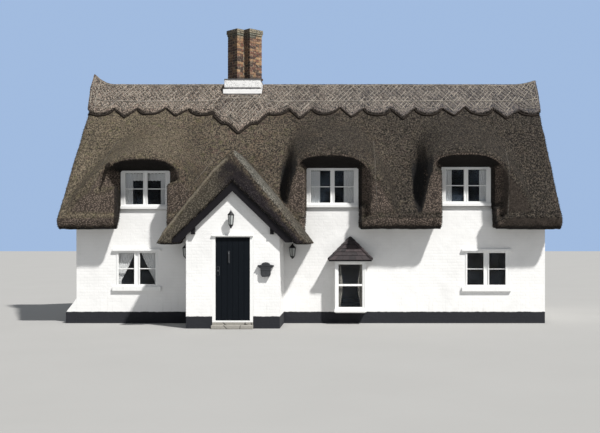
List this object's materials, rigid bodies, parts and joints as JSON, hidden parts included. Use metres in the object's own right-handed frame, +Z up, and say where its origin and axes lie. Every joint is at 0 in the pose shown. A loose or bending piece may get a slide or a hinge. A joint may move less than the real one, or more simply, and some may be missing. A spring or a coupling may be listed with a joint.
{
  "type": "thatched cottage",
  "caption": "White limewashed cottage with a thatched roof, hooded dormer windows, a gabled thatched porch with a black boarded door, and a diagonal brick chimney.",
  "frame": {"origin": "middle of the house plan, on the underside of the floor slab at ground level, under the ridge", "axes": "+X along the front towards the right as seen from the front, +Y from the front to the back, +Z up"},
  "size_m": [12.66, 8.106, 8.13],
  "materials": {
    "limewash": "limewashed wall, rough, with a black tarred base",
    "thatch": "weathered reed thatch",
    "ridge_thatch": "lighter sedge ridge, stitched",
    "brick": "old orange and plum brick",
    "white_paint": "white gloss paint on timber",
    "black_door_paint": "black satin paint on boards",
    "black_board_paint": "black paint on boards",
    "window_glass": "clear window glass",
    "net_curtain": "light net curtain",
    "black_iron": "black painted iron",
    "roof_tile": "dark brown clay tile",
    "stone_floor": "worn stone flags",
    "floor_boards": "plain oak boards"
  },
  "bodies": {
    "root": {"bay_curtains": "net_curtain", "bay_glass": "window_glass", "bay_hood": "roof_tile", "bay_window": "white_paint", "chimney_base": "limewash", "chimney_breast": "brick", "chimney_stack": "brick", "door_frame": "white_paint", "floor_slab": "stone_floor", "front_thatch": "thatch", "front_wall_left": "limewash", "front_wall_over_doorway": "limewash", "front_wall_right": "limewash", "left_dormer_curtains": "net_curtain", "left_dormer_glass": "window_glass", "left_dormer_window": "white_paint", "left_gable_foot": "limewash", "left_gable_wall": "limewash", "left_glass": "window_glass", "left_lantern": "black_iron", "left_window": "white_paint", "left_window_curtains": "net_curtain", "letterbox": "black_iron", "middle_dormer_curtains": "net_curtain", "middle_dormer_glass": "window_glass", "middle_dormer_window": "white_paint", "porch_bargeboards": "black_board_paint", "porch_floor": "stone_floor", "porch_front_left": "limewash", "porch_front_right": "limewash", "porch_gable": "limewash", "porch_lamp": "black_iron", "porch_left_wall": "limewash", "porch_right_wall": "limewash", "porch_thatch": "thatch", "rear_left_dormer_glass": "window_glass", "rear_left_dormer_window": "white_paint", "rear_left_glass": "window_glass", "rear_left_window": "white_paint", "rear_right_dormer_glass": "window_glass", "rear_right_dormer_window": "white_paint", "rear_right_glass": "window_glass", "rear_right_window": "white_paint", "rear_thatch": "thatch", "rear_wall": "limewash", "ridge_cap": "ridge_thatch", "right_dormer_curtains": "net_curtain", "right_dormer_glass": "window_glass", "right_dormer_window": "white_paint", "right_gable_wall": "limewash", "right_glass": "window_glass", "right_lantern": "black_iron", "right_window": "white_paint", "upper_floor": "floor_boards"},
    "door": {"front_door": "black_door_paint"}
  },
  "joints": [
    {"name": "front_door_hinge", "type": "hinge", "parent": "root", "child": "door", "pos_m": [-1.404, -4.258, 0], "axis": [0, 0, -1], "range_deg": [0, 95]}
  ]
}
